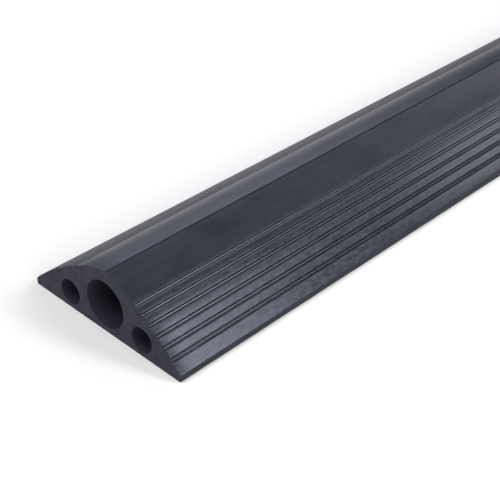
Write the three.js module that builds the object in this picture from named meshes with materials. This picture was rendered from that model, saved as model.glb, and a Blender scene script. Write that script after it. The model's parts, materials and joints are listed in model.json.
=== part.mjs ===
// Floor cable protector of extruded black rubber: one solid strip that lies on the floor, with three
// round channels through it for cables and ribbed flanks that people walk and wheels roll over.
// Millimetres, +Z up. The strip runs along X, is symmetric about Y = 0 and its base lies on Z = 0,
// with the origin at the middle of the base.
import * as THREE from 'three';

// Length and channels
const stripLength = 1000;
const mainBoreDiameter = 30;
const sideBoreDiameter = 16;
const webBetweenBores = 6.5;
const floorUnderMainBore = 3.5;
const floorUnderSideBore = 2.8;
const roofOverMainBore = 7.5;
const toeWidth = 22.5; // from a side channel out to the edge of the strip

// Crown and side edges
const crownHalfWidth = 18.5; // from the crest line to where the flank begins
const crestRadius = 5; // the two halves of the crown meet in a soft line
const crestFall = THREE.MathUtils.degToRad(9); // slope of the crown beside the crest line
const shoulderFall = THREE.MathUtils.degToRad(27); // slope where the crown ends
const sideEdgeHeight = 4.3;
const sideEdgeTopRadius = 4;
const sideEdgeFootRadius = 0.7;

// Tread of the flanks: pairs of narrow grooves, each pair with a thin bead standing between the two.
// The grooves grow wider from the uppermost pair down to the lowest.
const firstBead = 24.5; // from the middle of the strip, measured level
const beadPitch = 5.7;
const plainToe = 6.5; // left smooth beside the side edge
const firstGrooveWidth = 0.45;
const lastGrooveWidth = 0.95;
const grooveDepth = 2;
const grooveDraft = 0.12; // how much a groove narrows towards its floor
const beadFootWidth = 0.98;
const beadTopWidth = 0.88;
const beadTopDepth = 0.3; // how far a bead's top lies under the lands beside it
const beadTopFall = 0.2; // how much deeper its lower edge lies than its upper
const upperLipRadius = 0.3; // a land ends sharply at its lower side
const lowerLipRadius = 1.2; // and begins rounded at its upper side
const grooveRootRadius = 0.45; // the grooves have round floors
const beadRadius = 0.12;

// Smoothness of the round stretches
const crestSteps = 3;
const crownSteps = 24;
const landSteps = 2;
const cornerStepTurn = THREE.MathUtils.degToRad(20);
const boreSides = 64;

const mainBoreHeight = floorUnderMainBore + mainBoreDiameter / 2;
const sideBoreHeight = floorUnderSideBore + sideBoreDiameter / 2;
const sideBoreOffset = mainBoreDiameter / 2 + webBetweenBores + sideBoreDiameter / 2;
const crestHeight = floorUnderMainBore + mainBoreDiameter + roofOverMainBore;
const halfWidth = sideBoreOffset + sideBoreDiameter / 2 + toeWidth;

// A point's third value is the radius that its corner is rounded to, and zero leaves it sharp.
function corner(across, height, radius = 0) {
  return { across, height, radius };
}

// Points of an arc that starts at a point, falls at one angle there and at another where it ends.
function arcPoints(start, startFall, endFall, radius, steps) {
  const points = [];
  for (let step = 0; step <= steps; step++) {
    const fall = startFall + ((endFall - startFall) * step) / steps;
    const across = start.across + radius * (Math.sin(fall) - Math.sin(startFall));
    const height = start.height - radius * (Math.cos(startFall) - Math.cos(fall));
    points.push(corner(across, height));
  }
  return points;
}

// The crown: the small arc of the crest line, then the arc out to the shoulder.
const crest = arcPoints(corner(0, crestHeight), 0, crestFall, crestRadius, crestSteps);
const crownStart = crest[crest.length - 1];
const crownReach = Math.sin(shoulderFall) - Math.sin(crestFall);
const crownRadius = (crownHalfWidth - crownStart.across) / crownReach;
const crown = arcPoints(crownStart, crestFall, shoulderFall, crownRadius, crownSteps);
const shoulder = crown[crown.length - 1];

// The flank's arc leaves the shoulder at the crown's slope and ends at the top of the side edge.
const flankRun = halfWidth - shoulder.across;
const flankDrop = shoulder.height - sideEdgeHeight;
const flankChord = Math.hypot(flankRun, flankDrop);
const flankHalfTurn = Math.atan2(flankDrop, flankRun) - shoulderFall;
const flankRadius = flankChord / (2 * Math.sin(flankHalfTurn));

// Slope of the flank at a distance from the middle of the strip.
function fallAt(across) {
  return Math.asin(Math.sin(shoulderFall) + (across - shoulder.across) / flankRadius);
}

// A point beside the flank's place at a distance from the middle: along it downhill, and under it.
function besideFlank(across, downhill, under, radius) {
  const base = fallAt(across);
  const fall = base + downhill / flankRadius;
  const outAcross = Math.sin(fall);
  const outHeight = Math.cos(fall);
  const onFlankAcross = shoulder.across + flankRadius * (outAcross - Math.sin(shoulderFall));
  const onFlankHeight = shoulder.height - flankRadius * (Math.cos(shoulderFall) - outHeight);
  return corner(onFlankAcross - under * outAcross, onFlankHeight - under * outHeight, radius);
}

// The corners of a pair of grooves and the bead between them, from the upper lip down to the lower lip.
function groovePair(across, grooveWidth) {
  const foot = beadFootWidth / 2;
  const top = beadTopWidth / 2;
  const lip = foot + grooveWidth;
  const floorEdge = lip - grooveDraft;
  return [
    besideFlank(across, -lip, 0, upperLipRadius),
    besideFlank(across, -floorEdge, grooveDepth, grooveRootRadius),
    besideFlank(across, -foot, grooveDepth, grooveRootRadius),
    besideFlank(across, -top, beadTopDepth, beadRadius),
    besideFlank(across, top, beadTopDepth + beadTopFall, beadRadius),
    besideFlank(across, foot, grooveDepth, grooveRootRadius),
    besideFlank(across, floorEdge, grooveDepth, grooveRootRadius),
    besideFlank(across, lip, 0, lowerLipRadius),
  ];
}

// Points of the flank's arc between two places on it, both ends left out.
function landPoints(from, to) {
  const points = [];
  for (let step = 1; step < landSteps; step++) {
    const across = from + ((to - from) * step) / landSteps;
    points.push(besideFlank(across, 0, 0, 0));
  }
  return points;
}

function flankCorners() {
  const points = [];
  const beadCount = Math.floor((halfWidth - plainToe - firstBead) / beadPitch) + 1;
  let landStart = shoulder.across;
  for (let index = 0; index < beadCount; index++) {
    const share = index / Math.max(beadCount - 1, 1);
    const grooveWidth = THREE.MathUtils.lerp(firstGrooveWidth, lastGrooveWidth, share);
    const pair = groovePair(firstBead + index * beadPitch, grooveWidth);
    points.push(...landPoints(landStart, pair[0].across), ...pair);
    landStart = pair[pair.length - 1].across;
  }
  points.push(...landPoints(landStart, halfWidth));
  return points;
}

// One side of the outline, from the crest line down to the base.
const halfOutline = [
  ...crest,
  ...crown.slice(1),
  ...flankCorners(),
  corner(halfWidth, sideEdgeHeight, sideEdgeTopRadius),
  corner(halfWidth, 0, sideEdgeFootRadius),
];

// A rounded corner's arc touches the lines to the points before and after it. Its radius is kept
// within what half of the shorter line can hold.
function roundedCorner(before, point, after) {
  const here = new THREE.Vector2(point.across, point.height);
  const back = new THREE.Vector2(before.across, before.height).sub(here);
  const ahead = new THREE.Vector2(after.across, after.height).sub(here);
  const halfAngle = Math.abs(Math.atan2(back.cross(ahead), back.dot(ahead))) / 2;
  const room = Math.min(back.length(), ahead.length()) / 2;
  const reach = Math.min(point.radius / Math.tan(halfAngle), room);
  if (reach === 0) {
    return [here];
  }
  const radius = reach * Math.tan(halfAngle);
  const start = back.clone().setLength(reach);
  const end = ahead.clone().setLength(reach);
  const towardsCentre = start.clone().add(end).setLength(radius / Math.sin(halfAngle));
  const first = start.sub(towardsCentre);
  const last = end.sub(towardsCentre);
  const turn = Math.atan2(first.cross(last), first.dot(last));
  const steps = Math.ceil(Math.abs(turn) / cornerStepTurn);
  const points = [];
  for (let step = 0; step <= steps; step++) {
    const arm = first.clone().rotateAround(new THREE.Vector2(), (turn * step) / steps);
    points.push(arm.add(towardsCentre).add(here));
  }
  return points;
}

// The closed outline: one side, then its mirror image from the base back up to the crest line.
function sectionOutline() {
  const mirrored = halfOutline.slice(1).reverse();
  const otherSide = mirrored.map((point) => corner(-point.across, point.height, point.radius));
  const corners = [...halfOutline, ...otherSide];
  const count = corners.length;
  return corners.flatMap((point, index) => {
    const before = corners[(index + count - 1) % count];
    const after = corners[(index + 1) % count];
    return roundedCorner(before, point, after);
  });
}

function bore(across, height, diameter) {
  return new THREE.Path().absarc(across, height, diameter / 2, 0, 2 * Math.PI);
}

const section = new THREE.Shape(sectionOutline());
section.holes.push(bore(0, mainBoreHeight, mainBoreDiameter));
section.holes.push(bore(-sideBoreOffset, sideBoreHeight, sideBoreDiameter));
section.holes.push(bore(sideBoreOffset, sideBoreHeight, sideBoreDiameter));

const rubber = new THREE.MeshStandardMaterial({ color: 0x42434a, roughness: 0.55, metalness: 0 });

// A three.js curve gives a full circle two points for each of its segments.
const strip = new THREE.Mesh(
  new THREE.ExtrudeGeometry(section, {
    depth: stripLength,
    bevelEnabled: false,
    curveSegments: boreSides / 2,
  }),
  rubber,
);
strip.name = 'protector_strip';
// Turned so that the section's width lies along Y, its height along Z and its length along X.
strip.rotation.set(0, Math.PI / 2, Math.PI / 2);
strip.position.x = -stripLength / 2;

const protector = new THREE.Group();
protector.add(strip);

export default protector;
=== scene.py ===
"""Rubber floor cable protector, dressed and lit.

The strip is one length of extruded black rubber, 1 m long, with a domed crown, grooved flanks and
three round channels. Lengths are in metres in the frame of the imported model: X runs along the strip,
Y across it and Z up from the floor.
"""

import json
import math
from typing import NamedTuple

import bpy
import numpy as np
from bpy.props import FloatProperty, FloatVectorProperty, IntProperty, PointerProperty
from mathutils import Matrix, Vector
from mathutils.geometry import delaunay_2d_cdt


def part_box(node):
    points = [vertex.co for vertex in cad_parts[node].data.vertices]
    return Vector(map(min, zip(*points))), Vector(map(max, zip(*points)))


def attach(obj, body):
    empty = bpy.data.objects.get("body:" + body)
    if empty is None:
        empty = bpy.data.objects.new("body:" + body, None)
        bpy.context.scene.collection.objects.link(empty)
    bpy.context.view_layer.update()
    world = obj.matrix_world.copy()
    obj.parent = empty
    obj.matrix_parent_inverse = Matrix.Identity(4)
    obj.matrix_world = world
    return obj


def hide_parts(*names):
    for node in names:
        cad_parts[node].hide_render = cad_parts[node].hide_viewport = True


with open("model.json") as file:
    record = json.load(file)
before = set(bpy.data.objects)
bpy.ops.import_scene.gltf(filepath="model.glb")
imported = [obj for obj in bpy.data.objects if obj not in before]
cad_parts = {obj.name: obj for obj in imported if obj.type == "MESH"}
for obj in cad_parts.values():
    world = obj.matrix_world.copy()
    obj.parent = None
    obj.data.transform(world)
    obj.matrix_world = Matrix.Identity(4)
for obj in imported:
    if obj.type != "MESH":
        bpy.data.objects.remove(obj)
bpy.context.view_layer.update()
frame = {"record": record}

bl_info = {
    "name": "Rubber Floor Cable Protector",
    "version": (1, 0, 0),
    "blender": (4, 5, 0),
    "location": "View3D > Sidebar > Protector",
    "description": "Builds an extruded rubber floor strip with cable channels, and its studio",
    "category": "Object",
}

MM = 0.001
NODE = "protector_strip"
LOW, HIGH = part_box(NODE)
OPENINGS = {o["name"]: np.array(o["box_m"]) for o in frame["record"]["physics"]["openings"]}


def middle(name):
    """Middle of a cable channel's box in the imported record: along, across and up."""
    return OPENINGS[name].mean(axis=0)


def linear(hex_colour):
    """An sRGB hex value as the linear red, green, blue and alpha that Blender's sockets take."""
    srgb = np.array([(hex_colour >> shift) & 255 for shift in (16, 8, 0)]) / 255
    low, high = srgb / 12.92, ((srgb + 0.055) / 1.055) ** 2.4
    return (*np.where(srgb <= 0.04045, low, high), 1.0)


def length(name, description, millimetres):
    """A length property whose default is given in millimetres."""
    return FloatProperty(
        name=name, description=description, default=millimetres * MM, min=0, unit="LENGTH", precision=5
    )


def angle(name, description, degrees):
    """An angle property whose default is given in degrees."""
    return FloatProperty(
        name=name, description=description, default=math.radians(degrees), subtype="ANGLE"
    )


def colour(name, description, hex_colour):
    """A colour property whose default is an sRGB hex value."""
    return FloatVectorProperty(
        name=name,
        description=description,
        default=linear(hex_colour),
        size=4,
        subtype="COLOR",
        min=0,
        max=1,
    )


def number(name, description, default):
    """A plain number property."""
    return FloatProperty(name=name, description=description, default=default)


class ProtectorSection(bpy.types.PropertyGroup):
    """Sizes of the strip's section, the share of painted highlight on its beads, its cut edges, and how
    far its soft skin strays from it.
    """

    main_bore: length("Main channel", "Diameter of the middle channel", 30)
    side_bore: length("Side channel", "Diameter of each side channel", 16)
    crown_half_width: length("Crown half width", "From the crest line to where a flank begins", 18.5)
    crest_radius: length("Crest radius", "Softness of the line where the crown's halves meet", 5)
    crest_fall: angle("Crest fall", "Slope of the crown beside its crest line", 9)
    shoulder_fall: angle("Shoulder fall", "Slope where the crown ends", 27)
    side_edge_height: length("Side edge", "Height of the blunt face along each side", 4.3)
    side_edge_top_radius: length("Side edge top radius", "Rounding over the blunt face", 4)
    side_edge_foot_radius: length("Side edge foot radius", "Rounding under the blunt face", 0.7)
    first_bead: length("First bead", "From the middle to the uppermost bead, measured level", 24.5)
    bead_pitch: length("Bead pitch", "From bead to bead, measured level", 5.7)
    plain_toe: length("Plain toe", "Width left smooth beside the side edge", 6.5)
    first_groove_width: length("First groove width", "Width of each groove at the uppermost bead", 0.35)
    last_groove_width: length("Last groove width", "Width of each groove at the lowest bead", 0.95)
    groove_depth: length("Groove depth", "Depth of the grooves", 2.0)
    groove_draft: length("Groove draft", "How much a groove narrows towards its floor", 0.12)
    bead_foot_width: length("Bead foot", "Width of a bead at its foot", 0.98)
    bead_top_width: length("Bead top", "Width of a bead at its top", 0.88)
    bead_top_depth: length("Bead depth", "How far a bead's top lies under the lands", 0.3)
    bead_top_fall: length("Bead lean", "How much deeper a bead's lower edge lies than its upper", 0.2)
    upper_lip_radius: length("Upper lip radius", "A land ends sharply at its lower side", 0.3)
    lower_lip_radius: length("Lower lip radius", "A land begins rounded at its upper side", 1.2)
    groove_root_radius: length("Groove root radius", "Rounding of a groove's floor", 0.45)
    bead_radius: length("Bead radius", "Rounding of a bead's top", 0.12)
    # The lips and bead tops are painted pale as a highlight, fullest at the top bead and down to this
    # share at the lowest.
    last_highlight: number("Last wear", "Highlight of the lowest bead, when the top bead's is 1", 0.3)
    cut_edge_radius: length("Cut edge radius", "Rounding where the cut face meets the skin", 0.1)
    skin_wander: length("Skin wander", "How far the soft skin strays from the die's shape", 0.02)
    stations: IntProperty(name="Stations", description="Sections along the length", default=56, min=4)


class ProtectorFinish(bpy.types.PropertyGroup):
    """Colours and surface of the rubber."""

    skin: colour("Skin", "Carbon black rubber as it leaves the die", 0x23242A)
    bloom: colour("Bloom", "Wax that has come to the surface", 0x464853)
    # Painted highlight: the pale colour that the lips and bead tops are painted, standing in for the
    # light they catch.
    painted_highlight: colour("Highlighted edge", "Rubber that feet have rubbed pale on the lips and beads", 0x484A53)
    # Painted light: the channels' colour is paler than the skin, to lift the shade inside them.
    channel: colour("Channel", "Rubber inside the channels", 0x31313D)
    cut: colour("Cut face", "Rubber where the strip was cut off", 0x373743)
    gloss: colour("Gloss", "Cool cast of the light that the waxy skin throws back", 0xDDE4FB)
    ior: number("IOR", "Refractive index of rubber", 1.4)
    skin_roughness: number("Skin roughness", "Roughness of the extruded skin", 0.2)
    crown_roughness: number("Crown roughness", "Roughness of the crown, which feet have dulled", 0.34)
    far_roughness: number("Far roughness", "How much rougher the far flank is than the near one", 0.2)
    bloom_roughness: number("Bloom roughness", "How much rougher the skin is under full bloom", 0.05)
    channel_roughness: number("Channel roughness", "Roughness inside the channels", 0.8)
    cut_roughness: number("Cut roughness", "Roughness of the cut faces", 0.7)
    rubbed_roughness: number("Rubbed roughness", "Roughness of the rubbed side edges", 0.55)
    skin_gloss: number("Skin gloss", "Strength of the skin's gloss", 0.5)
    far_gloss: number("Far gloss", "Strength of the far flank's gloss", 0.3)
    channel_gloss: number("Channel gloss", "Strength of the gloss inside the channels", 0.2)
    rubbed_gloss: number("Rubbed gloss", "Strength of the gloss left on the side edges", 0.15)
    streak_spacing: length("Streak spacing", "From one die streak to the next", 1.1)
    streak_bloom: number("Streak bloom", "Most bloom in a die streak", 0.12)
    patch_size: length("Bloom patch", "Size of a patch of bloom", 16)
    patch_bloom: number("Patch bloom", "Most bloom in a patch", 0.28)
    speckle_size: length("Bloom speckle", "Size of a speck of bloom", 2.6)
    speckle_bloom: number("Speckle bloom", "Most bloom in a speck", 0.7)
    crown_speckle: number("Crown speckle", "Share of the speckle that the crown has", 0.1)
    far_speckle: number("Far speckle", "Share of the speckle left away from the near end", 0.3)
    crest_line: length("Crest line", "Width of the dull line that the die leaves by the crest", 1.3)


class ProtectorStudio(bpy.types.PropertyGroup):
    """Camera, lights and floor."""

    view_azimuth: angle("View azimuth", "Turn of the view from along +Y towards +X", 48.838)
    view_elevation: angle("View elevation", "How far the camera looks down", 35.456)
    view_roll: angle("View roll", "Turn of the picture about the line of sight", 3.411)
    view_distance: length("View distance", "From the camera to the point it looks at", 727.9)
    aim_from_end: length("Aim", "From the near end to the point on the floor looked at", 115.56)
    aim_off_middle: length("Aim beside", "From the middle line to the point looked at", 2.1)
    lens: FloatProperty(name="Lens", description="Focal length", default=84.98, unit="CAMERA")
    floor: colour("Floor", "Plain pale floor", 0xF2F2F2)
    surround: number("Surround", "Brightness of the plain surround", 0.06)
    light_level: number("Light level", "Brightness of all the soft lights together", 1.0)


def arc(start, start_fall, end_fall, radius, steps):
    """Points of an arc that starts at a point and falls at one angle there and at another at its end.

    At slope angle a the arc has gone radius * (sin a - sin start) across and come down
    radius * (cos start - cos a).
    """
    fall = np.linspace(start_fall, end_fall, steps + 1)
    across = start[0] + radius * (np.sin(fall) - math.sin(start_fall))
    height = start[1] - radius * (math.cos(start_fall) - np.cos(fall))
    return np.stack([across, height], axis=1)


def as_corners(points, radius=0.0, highlight_share=0.0):
    """Points as rows of across, height, the radius the corner is rounded to, and its share of painted
    highlight.
    """
    points = np.atleast_2d(points)
    count = len(points)
    return np.column_stack([points, np.broadcast_to(radius, count), np.broadcast_to(highlight_share, count)])


# How many pieces each stretch of the section has.
CREST_STEPS = 4
CROWN_STEPS = 36
LAND_STEPS = 3
TOE_STEPS = 7
CORNER_STEPS = 6
MAIN_BORE_SIDES = 128
SIDE_BORE_SIDES = 96


class Flank:
    """The arc that leaves the shoulder at the crown's slope and ends at the top of the side edge."""

    def __init__(self, section, shoulder, half_width):
        self.shoulder = shoulder
        self.start_sine = math.sin(section.shoulder_fall)
        self.start_cosine = math.cos(section.shoulder_fall)
        run = half_width - shoulder[0]
        drop = shoulder[1] - section.side_edge_height
        half_turn = math.atan2(drop, run) - section.shoulder_fall
        self.radius = math.hypot(run, drop) / (2 * math.sin(half_turn))

    def beside(self, across, downhill=0.0, under=0.0):
        """A point beside the flank's place at a distance across: along it downhill, and under it."""
        base = np.arcsin(self.start_sine + (np.asarray(across) - self.shoulder[0]) / self.radius)
        fall = base + np.asarray(downhill) / self.radius
        on_across = self.shoulder[0] + self.radius * (np.sin(fall) - self.start_sine)
        on_height = self.shoulder[1] - self.radius * (self.start_cosine - np.cos(fall))
        return np.stack([on_across - under * np.sin(fall), on_height - under * np.cos(fall)], axis=-1)


# Share of painted highlight at a pair's eight corners: upper lip, groove floor, the bead, groove floor
# and lower lip.
PAIR_HIGHLIGHT = np.array([0.2, 0, 0, 1, 1, 0, 0, 1])


def groove_pair(section, flank, across, groove_width, highlight_share):
    """The corners of two grooves with a bead between, from their upper lip down to their lower lip."""
    s = section
    foot = s.bead_foot_width / 2
    lip = foot + groove_width
    half_widths = np.array([lip, lip - s.groove_draft, foot, s.bead_top_width / 2])
    upper_depths = np.array([0, s.groove_depth, s.groove_depth, s.bead_top_depth])
    lower_depths = upper_depths + np.array([0, 0, 0, s.bead_top_fall])
    radii = np.array([s.upper_lip_radius, s.groove_root_radius, s.groove_root_radius, s.bead_radius])
    downhill = np.concatenate([-half_widths, half_widths[::-1]])
    under = np.concatenate([upper_depths, lower_depths[::-1]])
    rounding = np.concatenate([radii, radii[:0:-1], [s.lower_lip_radius]])
    return as_corners(flank.beside(across, downhill, under), rounding, highlight_share * PAIR_HIGHLIGHT)


def half_outline(section, half_width, height):
    """One side of the section, crest line to base, with a radius and a share of painted highlight for
    each corner.

    The crown is a small arc at the crest line and a larger one out to the shoulder. The flank is an arc
    that the pairs of grooves are cut into, each pair wider and with less painted highlight than the one
    above it.
    """
    s = section
    crest = arc((0, height), 0, s.crest_fall, s.crest_radius, CREST_STEPS)
    reach = math.sin(s.shoulder_fall) - math.sin(s.crest_fall)
    crown_radius = (s.crown_half_width - crest[-1, 0]) / reach
    crown = arc(crest[-1], s.crest_fall, s.shoulder_fall, crown_radius, CROWN_STEPS)[1:]
    flank = Flank(s, crown[-1], half_width)
    parts = [as_corners(crest), as_corners(crown)]
    land_start = crown[-1, 0]
    beads = np.arange(s.first_bead, half_width - s.plain_toe, s.bead_pitch)
    groove_widths = np.linspace(s.first_groove_width, s.last_groove_width, len(beads))
    # The painted highlight fades from the uppermost pair down to the lowest.
    highlight_shares = np.linspace(1, s.last_highlight, len(beads))
    for bead, groove_width, highlight_share in zip(beads, groove_widths, highlight_shares):
        pair = groove_pair(s, flank, bead, groove_width, highlight_share)
        land = np.linspace(land_start, pair[0, 0], LAND_STEPS + 1)[1:-1]
        parts += [as_corners(flank.beside(land)), pair]
        land_start = pair[-1, 0]
    toe = np.linspace(land_start, half_width, TOE_STEPS + 1)[1:-1]
    parts.append(as_corners(flank.beside(toe)))
    parts.append(as_corners([[half_width, s.side_edge_height]], s.side_edge_top_radius))
    parts.append(as_corners([[half_width, 0]], s.side_edge_foot_radius))
    return np.concatenate(parts)


LEAST_STEP = 0.001 * MM  # points that lie closer together than this are one point
LEAST_DIVISOR = 1e-12  # stands in for the zero length of a bisector where the outline is straight


def rounded(corners):
    """A closed outline with each corner replaced by an arc that touches both lines that meet there.

    An arc's touching points lie radius / tan(half the corner's angle) from the corner, and at most half
    of the shorter line away. Its centre lies on the line that halves the corner's angle. Where two arcs
    meet, one of their two touching points is left out. The second result is each point's share of
    painted highlight.
    """
    here = corners[:, :2]
    back = np.roll(here, 1, axis=0) - here
    ahead = np.roll(here, -1, axis=0) - here
    back_length = np.linalg.norm(back, axis=1)
    ahead_length = np.linalg.norm(ahead, axis=1)
    back /= back_length[:, None]
    ahead /= ahead_length[:, None]
    cosine = np.clip((back * ahead).sum(axis=1), -1, 1)
    half_angle = np.arccos(cosine) / 2
    room = np.minimum(back_length, ahead_length) / 2
    reach = np.minimum(corners[:, 2] / np.tan(half_angle), room)
    radius = reach * np.tan(half_angle)
    bisector = back + ahead
    bisector /= np.maximum(np.linalg.norm(bisector, axis=1), LEAST_DIVISOR)[:, None]
    centre = here + bisector * (radius / np.sin(half_angle))[:, None]
    first = here + back * reach[:, None] - centre
    last = here + ahead * reach[:, None] - centre
    cross = first[:, 0] * last[:, 1] - first[:, 1] * last[:, 0]
    turn = np.arctan2(cross, (first * last).sum(axis=1))
    angles = turn[:, None] * np.linspace(0, 1, CORNER_STEPS + 1)
    cos, sin = np.cos(angles), np.sin(angles)
    x = centre[:, :1] + first[:, :1] * cos - first[:, 1:] * sin
    y = centre[:, 1:] + first[:, :1] * sin + first[:, 1:] * cos
    points = np.stack([x, y], axis=2)
    sharp = corners[:, 2] == 0
    points[sharp] = here[sharp][:, None]
    keep = np.ones(points.shape[:2], bool)
    keep[sharp, 1:] = False
    highlight_share = np.broadcast_to(corners[:, 3:], keep.shape)
    points, highlight_share = points[keep], highlight_share[keep]
    apart = np.linalg.norm(points - np.roll(points, 1, axis=0), axis=1) > LEAST_STEP
    return points[apart], highlight_share[apart]


def outline(section, half_width, height):
    """The whole closed outline, round from the crest line over +Y, and the share of painted highlight at
    each of its points.

    It is one side and its mirror image.
    """
    side = half_outline(section, half_width, height)
    other = side[:0:-1] * (-1, 1, 1, 1)
    return rounded(np.concatenate([side, other]))


def bore(centre, diameter, sides):
    """A closed circle in the section plane, going round the other way than the outline does."""
    turn = np.linspace(0, 2 * math.pi, sides, endpoint=False)
    return centre[1:] + diameter / 2 * np.stack([np.cos(turn), np.sin(turn)], axis=1)


def inward(loop):
    """Unit normals of a closed loop that point into the rubber, on the right of its direction."""
    along = np.roll(loop, -1, axis=0) - np.roll(loop, 1, axis=0)
    along /= np.linalg.norm(along, axis=1)[:, None]
    return np.stack([along[:, 1], -along[:, 0]], axis=1)


WAVELENGTHS = np.geomspace(70 * MM, 500 * MM, 9)
QUICKEST_CHANGE_ACROSS = 14 * MM  # shortest wavelength that a wave has across the section
WANDER_HEIGHT = 4 * MM  # over which the wander grows from nothing at the base


def wander(points, amplitude):
    """How far the soft skin strays from the die's shape, across and up, at each point of it.

    It is a sum of waves. Each runs along the strip with its own wavelength, changes across the section
    at its own rates and starts at its own phase. All fade out towards the base, which stays flat.
    """
    random = np.random.default_rng(7)
    total = np.zeros((len(points), 2))
    for wavelength in WAVELENGTHS:
        across = random.uniform(-1, 1, 2) / QUICKEST_CHANGE_ACROSS
        cycles = points @ np.array([1 / wavelength, *across])
        total += np.sin(2 * math.pi * cycles[:, None] + random.uniform(0, 2 * math.pi, 2))
    lift = np.clip(points[:, 2] / WANDER_HEIGHT, 0, 1)
    return amplitude * total / math.sqrt(len(WAVELENGTHS)) * lift[:, None]


def stations_along(section):
    """Places along the strip and how far the loops are drawn in there.

    Close to each end they follow a quarter circle: at its angle a the loop is drawn in by
    radius * (1 - sin a) and lies radius * (1 - cos a) from the end.
    """
    r = section.cut_edge_radius
    quarter = np.radians([0, 30, 60, 90])
    near = LOW.x + r * (1 - np.cos(quarter))
    drawn_in = r * (1 - np.sin(quarter))
    middle_places = np.linspace(near[-1], HIGH.x - r, section.stations + 2)[1:-1]
    along = np.concatenate([near, middle_places, LOW.x + HIGH.x - near[::-1]])
    drawn = np.concatenate([drawn_in, np.zeros(section.stations), drawn_in[::-1]])
    return along, drawn


def skin_points(loop, along, drawn):
    """Vertices of one loop carried along the strip by stations, drawn into the rubber at the ends."""
    points = loop[None] + drawn[:, None, None] * inward(loop)[None]
    x = np.broadcast_to(along[:, None, None], (len(along), len(loop), 1))
    return np.concatenate([x, points], axis=2).reshape(-1, 3)


def skin_faces(count, stations, first):
    """Quads between neighbouring points of neighbouring stations, facing out of the rubber."""
    point = np.arange(count)
    row = np.arange(stations - 1)[:, None] * count
    here, there = row + point, row + (point + 1) % count
    quads = np.stack([here, here + count, there + count, there], axis=-1)
    return quads.reshape(-1, 4) + first


def inside(points, loop):
    """Whether each point is in a closed loop: a line to its right crosses it an odd number of times."""
    x, y = points[:, :1], points[:, 1:]
    x1, y1 = loop.T
    x2, y2 = np.roll(loop, -1, axis=0).T
    spans = (y1 > y) != (y2 > y)
    crossing = x1 + (y - y1) * (x2 - x1) / np.where(y2 == y1, 1, y2 - y1)
    return (spans & (x < crossing)).sum(axis=1) % 2 == 1


MERGE_DISTANCE_MM = 1e-6  # points of the cut face that are closer together than this are one point


def cap_triangles(loops):
    """Triangles of the cut face between the outline and the bores, as numbers of the loops' points."""
    points = np.concatenate(loops)
    firsts = np.cumsum([0] + [len(loop) for loop in loops[:-1]])
    edges = [
        (int(first + i), int(first + (i + 1) % len(loop)))
        for first, loop in zip(firsts, loops)
        for i in range(len(loop))
    ]
    scaled = [Vector(p) for p in points / MM]
    found = delaunay_2d_cdt(scaled, edges, [], 0, MERGE_DISTANCE_MM)
    sources = np.array([origin[0] if origin else -1 for origin in found[3]])
    triangles = sources[np.array(found[2])]
    if (triangles < 0).any():
        raise RuntimeError("The section's loops cross each other, so its end can't be closed.")
    centres = points[triangles].mean(axis=1)
    solid = inside(centres, loops[0])
    for hole in loops[1:]:
        solid &= ~inside(centres, hole)
    a, b, c = (points[triangles[:, i]] for i in range(3))
    area = (b - a)[:, 0] * (c - a)[:, 1] - (b - a)[:, 1] * (c - a)[:, 0]
    triangles = np.where((area < 0)[:, None], triangles[:, ::-1], triangles)
    return triangles[solid]


def carried(loops, section):
    """Vertices of the loops carried along the strip, each loop's quads, and the cut faces' triangles.

    The vertices come loop by loop, station by station within a loop and point by point within a station.
    """
    along, drawn = stations_along(section)
    vertices, quads, near_ring, far_ring = [], [], [], []
    first = 0
    for loop in loops:
        grid = skin_points(loop, along, drawn)
        ring = first + np.arange(len(loop))
        near_ring.append(ring)
        far_ring.append(ring + len(grid) - len(loop))
        vertices.append(grid)
        quads.append(skin_faces(len(loop), len(along), first))
        first += len(grid)
    vertices = np.concatenate(vertices)
    near_ring, far_ring = np.concatenate(near_ring), np.concatenate(far_ring)
    ends = np.cumsum([len(loop) for loop in loops])[:-1]
    caps = cap_triangles(np.split(vertices[near_ring][:, 1:], ends))
    return vertices, quads, np.concatenate([near_ring[caps][:, ::-1], far_ring[caps]])


SKIN, CHANNEL, CUT, RUBBED = range(4)  # numbers of the strip's material slots
SIDE_EDGE_DEPTH = 0.2 * MM  # skin that lies within this of the strip's side is the blunt side edge
SHARP_FOLD = math.radians(34)  # the skin is shaded smooth over folds that are less than this


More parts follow.
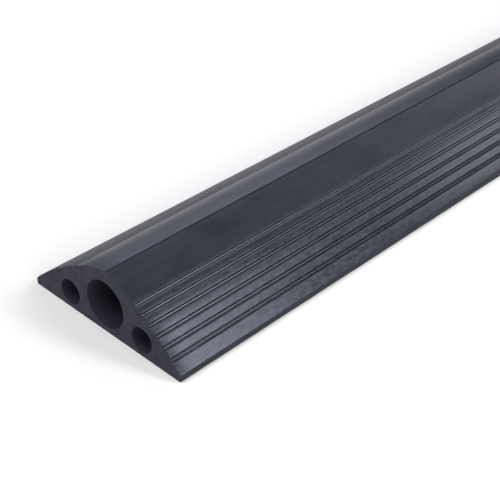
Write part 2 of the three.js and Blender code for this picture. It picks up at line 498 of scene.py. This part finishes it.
def strip_mesh(section):
    """The whole strip: its skin and channels carried along the length, and a cut face at each end.

    Its highlight_share attribute is the outline's share of painted highlight at every station, and zero
    inside the channels.
    """
    skin, skin_highlight = outline(section, HIGH.y, HIGH.z)
    loops = [
        skin,
        bore(middle("main_channel"), section.main_bore, MAIN_BORE_SIDES),
        bore(middle("left_side_channel"), section.side_bore, SIDE_BORE_SIDES),
        bore(middle("right_side_channel"), section.side_bore, SIDE_BORE_SIDES),
    ]
    vertices, quads, cut_faces = carried(loops, section)
    vertices[:, 1:] += wander(vertices, section.skin_wander)
    skin_quads = len(quads[0])
    quads = np.concatenate(quads)
    mesh = bpy.data.meshes.new("extruded_strip")
    mesh.from_pydata(vertices.tolist(), [], quads.tolist() + cut_faces.tolist())
    # The share of painted highlight on the lips and beads, repeated at every station.
    painted_highlight = np.tile(skin_highlight, skin_quads // len(skin) + 1)
    highlight_share = np.concatenate([painted_highlight, np.zeros(len(vertices) - len(painted_highlight))])
    mesh.attributes.new("highlight_share", "FLOAT", "POINT").data.foreach_set("value", highlight_share)
    on_side_edge = np.abs(vertices[quads, 1]).min(axis=1) > HIGH.y - SIDE_EDGE_DEPTH
    surface = np.full(len(quads) + len(cut_faces), CUT)
    surface[:len(quads)] = np.where(on_side_edge, RUBBED, SKIN)
    surface[skin_quads:len(quads)] = CHANNEL
    mesh.polygons.foreach_set("material_index", surface.astype(np.int32))
    mesh.set_sharp_from_angle(angle=SHARP_FOLD)
    mesh.polygons.foreach_set("use_smooth", surface != CUT)
    return mesh


def add_node(tree, kind, settings=None, inputs=None):
    """Adds a node, sets its properties, and sets or links each named or numbered input."""
    node = tree.nodes.new(kind)
    for name, value in (settings or {}).items():
        setattr(node, name, value)
    for name, value in (inputs or {}).items():
        if isinstance(value, bpy.types.NodeSocket):
            tree.links.new(value, node.inputs[name])
        else:
            node.inputs[name].default_value = value
    return node


def new_material(name):
    """An empty node material and its tree."""
    material = bpy.data.materials.new(name)
    material.use_nodes = True
    material.node_tree.nodes.clear()
    return material, material.node_tree


def add_patterns(tree, patterns):
    """Noise for each pattern, and the place on the strip: along it, across it and its height.

    A pattern is the size of its grains along X, their size along Y and Z, and its detail.
    """
    place = add_node(tree, "ShaderNodeTexCoord").outputs["Object"]
    parts = add_node(tree, "ShaderNodeSeparateXYZ", None, {0: place}).outputs
    found = {"along": parts["X"], "across": parts["Y"], "height": parts["Z"]}
    for name, (along, across, detail) in patterns.items():
        inputs = {0: place, 1: (along, across, across)}
        grains = add_node(tree, "ShaderNodeVectorMath", {"operation": "DIVIDE"}, inputs).outputs[0]
        inputs = {"Vector": grains, "Scale": 1.0, "Detail": detail, "Roughness": 0.6}
        found[name] = add_node(tree, "ShaderNodeTexNoise", None, inputs).outputs["Fac"]
    return found


def rubber(tree, finish, base, roughness, gloss, bumps):
    """Rubber of a colour, with bumps laid over each other by height in metres."""
    normal = {}
    for pattern, height in bumps:
        inputs = {"Height": pattern, "Distance": height, "Strength": 0.5, **normal}
        normal = {"Normal": add_node(tree, "ShaderNodeBump", None, inputs).outputs[0]}
    shader = add_node(
        tree, "ShaderNodeBsdfPrincipled", None,
        {
            "Base Color": base,
            "Roughness": roughness,
            "IOR": finish.ior,
            "Specular IOR Level": gloss,
            "Specular Tint": tuple(finish.gloss),
            **normal,
        },
    )
    add_node(tree, "ShaderNodeOutputMaterial", None, {"Surface": shader.outputs[0]})


# Where the skin's bloom and gloss change: each is a first place and a second.
SPECKLE_GROWS = (34 * MM, 22 * MM)  # heights, from the crown down the flanks
CROWN_ENDS = (35 * MM, 28 * MM)  # heights between which the crown's gloss turns into the flanks'
FAR_FLANK_DULLS = (21 * MM, 26 * MM)  # distances across, out from the crown
NEAR_END_FADES = (LOW.x + 60 * MM, LOW.x + 240 * MM)  # places along the strip


def skin_measures(tree, finish):
    """The skin's patterns, and the bloom, roughness and gloss that they and the place on it give."""
    found = add_patterns(
        tree,
        {
            "streaks": (600 * MM, finish.streak_spacing, 1.0),
            "patches": (2 * finish.patch_size, finish.patch_size, 4.0),
            "speckle": (2 * finish.speckle_size, finish.speckle_size, 2.0),
            # The real grain is about 0.1 mm and wouldn't show, so it is drawn about 1 mm across.
            "grain": (3 * MM, 1 * MM, 2.0),
        },
    )
    width = finish.crest_line
    off_line = add_node(
        tree, "ShaderNodeMath", {"operation": "ADD"}, {0: found["across"], 1: width / 2}
    )
    found["off_line"] = add_node(
        tree, "ShaderNodeMath", {"operation": "ABSOLUTE"}, {0: off_line.outputs[0]}
    ).outputs[0]
    # Each ramp reads a value, and goes from one result at its first place to another at its second.
    ramps = {
        "speckle_bloom": ("speckle", (0.35, 0.7), (0.0, finish.speckle_bloom)),
        "speckle_by_height": ("height", SPECKLE_GROWS, (finish.crown_speckle, 1.0)),
        "speckle_by_end": ("along", NEAR_END_FADES, (1.0, finish.far_speckle)),
        "streak_bloom": ("streaks", (0.3, 0.75), (0.0, finish.streak_bloom)),
        "patch_bloom": ("patches", (0.3, 0.75), (0.0, finish.patch_bloom)),
        "bare_roughness": ("height", CROWN_ENDS, (finish.crown_roughness, finish.skin_roughness)),
        "far_roughness": ("across", FAR_FLANK_DULLS, (0.0, finish.far_roughness)),
        "gloss": ("across", FAR_FLANK_DULLS, (finish.skin_gloss, finish.far_gloss)),
        "outside_line": ("off_line", (0.4 * width, 0.7 * width), (0.0, 1.0)),
    }
    for name, (source, places, results) in ramps.items():
        inputs = {"Value": found[source], "From Min": places[0], "From Max": places[1]}
        inputs |= {"To Min": results[0], "To Max": results[1]}
        found[name] = add_node(tree, "ShaderNodeMapRange", None, inputs).outputs[0]
    return found


def bloom_share(tree, found):
    """How much wax covers the skin: speckle * its strength there, with the streaks and patches added."""
    share = found["speckle_bloom"]
    for operation, name in (
        ("MULTIPLY", "speckle_by_height"),
        ("MULTIPLY", "speckle_by_end"),
        ("ADD", "streak_bloom"),
        ("ADD", "patch_bloom"),
    ):
        step = add_node(tree, "ShaderNodeMath", {"operation": operation}, {0: share, 1: found[name]})
        share = step.outputs[0]
    return share


def extruded_rubber(finish):
    """Carbon black EPDM rubber as it leaves the die: near black with a cool cast, satin.

    Die streaks run the whole length. Wax has bloomed in soft patches and in a fine speckle, strongest
    on the flanks near the near end, which make the skin paler and a little duller. The crown and the
    far flank are duller than the near flank. The die left a line without gloss beside the crest. The
    lips and bead tops are painted pale as a painted highlight, strongest at the uppermost pair.
    """
    material, tree = new_material("extruded_epdm_rubber")
    found = skin_measures(tree, finish)
    bloom = bloom_share(tree, found)
    near_roughness = add_node(
        tree, "ShaderNodeMath", {"operation": "MULTIPLY_ADD"},
        {0: bloom, 1: finish.bloom_roughness, 2: found["bare_roughness"]},
    )
    roughness = add_node(
        tree, "ShaderNodeMath", {"operation": "ADD"},
        {0: near_roughness.outputs[0], 1: found["far_roughness"]},
    )
    gloss = add_node(
        tree, "ShaderNodeMath", {"operation": "MULTIPLY"},
        {0: found["outside_line"], 1: found["gloss"]},
    )
    # Painted highlight: the lips and bead tops are mixed towards a pale colour by their highlight share.
    highlight_share = add_node(tree, "ShaderNodeAttribute", {"attribute_name": "highlight_share"}).outputs["Fac"]
    bloomed = add_node(
        tree, "ShaderNodeMix", {"data_type": "RGBA"},
        {"Factor": bloom, "A": tuple(finish.skin), "B": tuple(finish.bloom)},
    )
    painted_highlight = add_node(
        tree, "ShaderNodeMix", {"data_type": "RGBA"},
        {"Factor": highlight_share, "A": bloomed.outputs["Result"], "B": tuple(finish.painted_highlight)},
    )
    bumps = ((found["streaks"], 0.01 * MM), (found["grain"], 0.008 * MM))
    rubber(tree, finish, painted_highlight.outputs["Result"], roughness.outputs[0], gloss.outputs[0], bumps)
    return material


def clouded(tree, pattern, places, most, bare, cloud):
    """A bare colour that takes on more of a cloud's colour, up to a share, where a pattern is higher."""
    share = add_node(
        tree, "ShaderNodeMapRange", None,
        {"Value": pattern, "From Min": places[0], "From Max": places[1], "To Min": 0.0, "To Max": most},
    )
    mixed = add_node(
        tree, "ShaderNodeMix", {"data_type": "RGBA"},
        {"Factor": share.outputs[0], "A": tuple(bare), "B": tuple(cloud)},
    )
    return mixed.outputs["Result"]


def channel_rubber_painted_light(finish):
    """The same rubber inside the channels: dark and dull, with die streaks, its colour painted paler
    than the skin as light in the channels' shade.
    """
    material, tree = new_material("channel_epdm_rubber_painted_light")
    found = add_patterns(tree, {"streaks": (400 * MM, 2 * MM, 2.0)})
    # The channel colour is painted pale as light in the channels' shade, clouded back towards the skin
    # by die streaks.
    base = clouded(tree, found["streaks"], (0.3, 0.8), 0.3, finish.channel, finish.skin)
    bumps = ((found["streaks"], 0.02 * MM),)
    rubber(tree, finish, base, finish.channel_roughness, finish.channel_gloss, bumps)
    return material


def sawn_rubber(finish):
    """The same rubber where it was sawn off: dull, clouded by the blade's strokes, and crumbly."""
    material, tree = new_material("sawn_epdm_rubber")
    found = add_patterns(tree, {"strokes": (3 * MM, 8 * MM, 3.0), "crumbs": (1 * MM, 1 * MM, 2.0)})
    base = clouded(tree, found["strokes"], (0.35, 0.7), 0.9, finish.cut, finish.skin)
    bumps = ((found["strokes"], 0.08 * MM), (found["crumbs"], 0.05 * MM))
    rubber(tree, finish, base, finish.cut_roughness, finish.skin_gloss, bumps)
    return material


def rubbed_rubber(finish):
    """The same rubber on the blunt side edges, where the floor and feet have rubbed its gloss away."""
    material, tree = new_material("rubbed_epdm_rubber")
    # The grain is drawn about 1 mm across here too, since it wouldn't show at its real size.
    found = add_patterns(tree, {"scuffs": (12 * MM, 1 * MM, 3.0), "grain": (1 * MM, 1 * MM, 2.0)})
    base = clouded(tree, found["scuffs"], (0.35, 0.75), 0.6, finish.skin, finish.bloom)
    bumps = ((found["scuffs"], 0.03 * MM), (found["grain"], 0.02 * MM))
    rubber(tree, finish, base, finish.rubbed_roughness, finish.rubbed_gloss, bumps)
    return material


def plain_floor(colour_value):
    """Matt painted board: an even pale grey white without pattern or gloss."""
    material, tree = new_material("matt_painted_board")
    shader = add_node(
        tree, "ShaderNodeBsdfPrincipled", None,
        {"Base Color": tuple(colour_value), "Roughness": 0.9, "Specular IOR Level": 0.2},
    )
    add_node(tree, "ShaderNodeOutputMaterial", None, {"Surface": shader.outputs[0]})
    return material


def link(name, data):
    """An object at the origin that holds a mesh, light or camera."""
    made = bpy.data.objects.new(name, data)
    bpy.context.scene.collection.objects.link(made)
    return made


class PROTECTOR_OT_strip(bpy.types.Operator):
    """Extrude the rubber strip with its crown, grooved flanks and channels, and finish its surfaces"""

    bl_idname = "protector.strip"
    bl_label = "Rubber Strip"

    def execute(self, context):
        strip = link("extruded_strip", strip_mesh(context.scene.protector_section))
        # In the order of the slot numbers SKIN, CHANNEL, CUT and RUBBED.
        for rubber_kind in (extruded_rubber, channel_rubber_painted_light, sawn_rubber, rubbed_rubber):
            strip.data.materials.append(rubber_kind(context.scene.protector_finish))
        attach(strip, "root")
        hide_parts(NODE)
        return {"FINISHED"}


class SoftLight(NamedTuple):
    """A rectangular soft light that faces the camera's aim, with its width turned along the strip.

    Forward is the angle from square across the strip towards its far end, and around is the angle
    about the strip, from level on the right up over the top to level on the left, both in degrees. The
    size is in metres. The brightness is what the eye meets in it, so a larger light gives more light.
    """

    name: str
    forward: float
    around: float
    width: float
    height: float
    brightness: float
    colour: int = 0xFFFFFF


LIGHT_DISTANCE = 3.0  # metres from the camera's aim
SOFT_LIGHTS = (
    SoftLight("right_light", 27.0, 43.6, 0.87, 1.71, 7.6),
    SoftLight("low_right_light", 26.5, 22.6, 1.18, 0.92, 3.9),
    SoftLight("far_right_light", 52.7, 51.3, 0.50, 1.00, 4.2),
    SoftLight("far_end_light", 57.5, 103.4, 0.64, 1.46, 2.1),
    SoftLight("back_light", 34.4, 138.5, 1.51, 1.19, 2.1, 0xE6E8FF),
    SoftLight("low_back_light", 31.0, 158.0, 1.30, 1.20, 1.05, 0xE6E8FF),
    SoftLight("front_light", -22.2, 32.0, 2.20, 2.02, 1.8),
    SoftLight("side_light", -4.7, 21.2, 1.83, 1.18, 1.6),
    SoftLight("overhead_light", -22.1, 106.4, 2.84, 2.56, 3.3),
)


def place_light(light, level, aim):
    """Puts a soft light in its place. Its power is brightness * pi * area, as its glow is even."""
    data = bpy.data.lights.new(light.name, "AREA")
    data.shape = "RECTANGLE"
    data.size, data.size_y = light.width, light.height
    data.color = linear(light.colour)[:3]
    data.energy = light.brightness * level * math.pi * light.width * light.height
    forward, around = math.radians(light.forward), math.radians(light.around)
    across = math.cos(forward)
    away = Vector((math.sin(forward), -across * math.cos(around), across * math.sin(around)))
    up = away.cross(Vector((1, 0, 0))).normalized()
    turned = Matrix((up.cross(away), up, away)).transposed().to_4x4()
    link(light.name, data).matrix_world = Matrix.Translation(aim + away * LIGHT_DISTANCE) @ turned


FLOOR_REACH = 12.0  # metres each way, so that the floor fills the view and the room around it


class PROTECTOR_OT_studio(bpy.types.Operator):
    """Lay a plain pale floor, set soft studio lights and place the camera"""

    bl_idname = "protector.studio"
    bl_label = "Studio"

    def execute(self, context):
        studio = context.scene.protector_studio
        aim = Vector((LOW.x + studio.aim_from_end, -studio.aim_off_middle, 0))
        self.lay_floor(studio)
        self.set_surround(studio)
        for light in SOFT_LIGHTS:
            place_light(light, studio.light_level, aim)
        self.place_camera(context, studio, aim)
        # Colours come out as their hex values say, without a film's soft curve.
        context.scene.view_settings.view_transform = "Standard"
        return {"FINISHED"}

    def lay_floor(self, studio):
        """A square of plain board that the strip lies on."""
        mesh = bpy.data.meshes.new("floor")
        signs = ((-1, -1), (1, -1), (1, 1), (-1, 1))
        mesh.from_pydata([(FLOOR_REACH * x, FLOOR_REACH * y, 0) for x, y in signs], [], [(0, 1, 2, 3)])
        mesh.materials.append(plain_floor(studio.floor))
        link("floor", mesh)

    def set_surround(self, studio):
        """A faint even white light from all around."""
        world = bpy.data.worlds.new("plain_surround")
        bpy.context.scene.world = world
        world.use_nodes = True
        background = world.node_tree.nodes["Background"]
        background.inputs["Color"].default_value = (1, 1, 1, 1)
        background.inputs["Strength"].default_value = studio.surround

    def place_camera(self, context, studio, aim):
        """Looks down at the aim: turned by the azimuth about +Z, tilted by the elevation, and rolled."""
        data = bpy.data.cameras.new("camera")
        data.sensor_width = 36  # millimetres
        data.lens = studio.lens
        data.clip_end = 50  # metres
        camera = link("camera", data)
        turn = Matrix.Rotation(-studio.view_azimuth, 4, "Z")
        tilt = Matrix.Rotation(math.pi / 2 - studio.view_elevation, 4, "X")
        roll = Matrix.Rotation(studio.view_roll, 4, "Z")
        back = Matrix.Translation((0, 0, studio.view_distance))
        camera.matrix_world = Matrix.Translation(aim) @ turn @ tilt @ roll @ back
        context.scene.camera = camera


class PROTECTOR_PT_panel(bpy.types.Panel):
    """Buttons that build the strip and its studio"""

    bl_idname = "PROTECTOR_PT_panel"
    bl_label = "Floor Cable Protector"
    bl_space_type = "VIEW_3D"
    bl_region_type = "UI"
    bl_category = "Protector"

    def draw(self, context):
        for operator in (PROTECTOR_OT_strip, PROTECTOR_OT_studio):
            self.layout.operator(operator.bl_idname)


GROUPS = {
    "protector_section": ProtectorSection,
    "protector_finish": ProtectorFinish,
    "protector_studio": ProtectorStudio,
}
CLASSES = (*GROUPS.values(), PROTECTOR_OT_strip, PROTECTOR_OT_studio, PROTECTOR_PT_panel)


def register():
    for kind in CLASSES:
        bpy.utils.register_class(kind)
    for name, group in GROUPS.items():
        setattr(bpy.types.Scene, name, PointerProperty(type=group))


def unregister():
    for name in GROUPS:
        delattr(bpy.types.Scene, name)
    for kind in reversed(CLASSES):
        bpy.utils.unregister_class(kind)


def main():
    """Builds the strip and its studio."""
    register()
    bpy.ops.protector.strip()
    bpy.ops.protector.studio()


if __name__ == "__main__":
    main()
